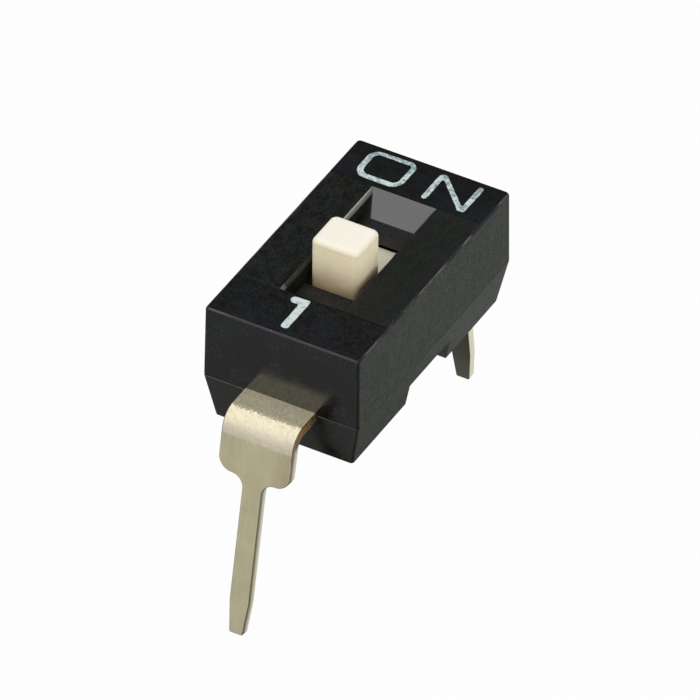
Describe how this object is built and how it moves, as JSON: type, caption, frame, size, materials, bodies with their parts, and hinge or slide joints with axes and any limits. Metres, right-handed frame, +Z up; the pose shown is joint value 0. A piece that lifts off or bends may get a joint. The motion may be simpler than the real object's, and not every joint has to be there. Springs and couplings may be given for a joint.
{
  "type": "dip switch",
  "caption": "Slide switch for a circuit board: black housing with a slotted top, ivory knob that slides between OFF and ON, and bent solder pins.",
  "frame": {"origin": "on the board under the middle of the base, between the solder pins", "axes": "+Z up from the board, +Y along the slide direction towards ON, +X across the housing"},
  "size_m": [0.0034, 0.0094, 0.007],
  "materials": {
    "housing": "matte moulded, glossier on the ends",
    "knob": "smooth ivory moulding",
    "terminal": "tin-plated copper alloy, warm and slightly dull",
    "contact": "bright plated spring strip",
    "print": "thin pale print"
  },
  "bodies": {
    "housing": {"base": "housing", "cover": "housing", "off_terminal": "terminal", "on_terminal": "terminal", "on_legend": "print", "number_legend": "print"},
    "actuator": {"slider": "knob", "contact_spring": "contact"}
  },
  "joints": [
    {"name": "actuator_slide", "type": "slide", "parent": "housing", "child": "actuator", "axis": [0, 1, 0], "range_m": [0, 0.00104]}
  ]
}
